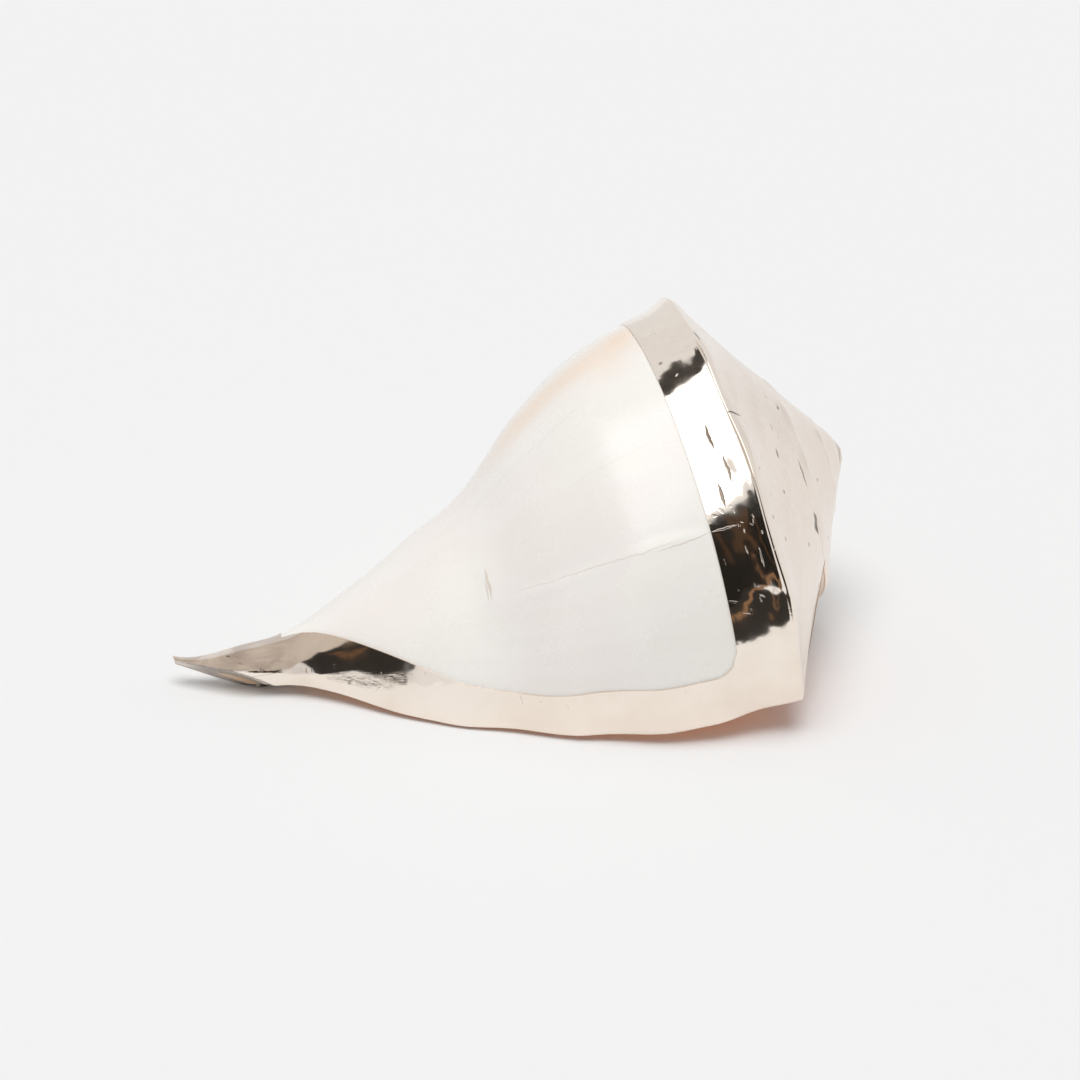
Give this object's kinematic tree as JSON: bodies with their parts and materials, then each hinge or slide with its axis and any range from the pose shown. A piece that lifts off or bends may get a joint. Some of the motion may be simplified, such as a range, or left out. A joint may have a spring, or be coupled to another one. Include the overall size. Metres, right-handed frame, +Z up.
{
  "type": "whelk shell",
  "caption": "Polished white left-handed whelk shell lying on its aperture, with mirror-silver plating over its spire, outer lip and canal end.",
  "frame": {"origin": "on the surface the shell lies on, below the centre of its bounding box", "axes": "+X towards the spire's side, -X towards the canal's end, -Y towards the outer lip, +Z up"},
  "size_m": [0.17, 0.1132, 0.0888],
  "materials": {
    "polished_shell": "polished white shell with faint pink and orange tints and fine growth lines",
    "silver": "warm mirror silver, slightly wavy, with fine scratches and pits"
  },
  "bodies": {
    "root": {"shell": "polished_shell", "silver_plating": "silver"}
  },
  "joints": []
}
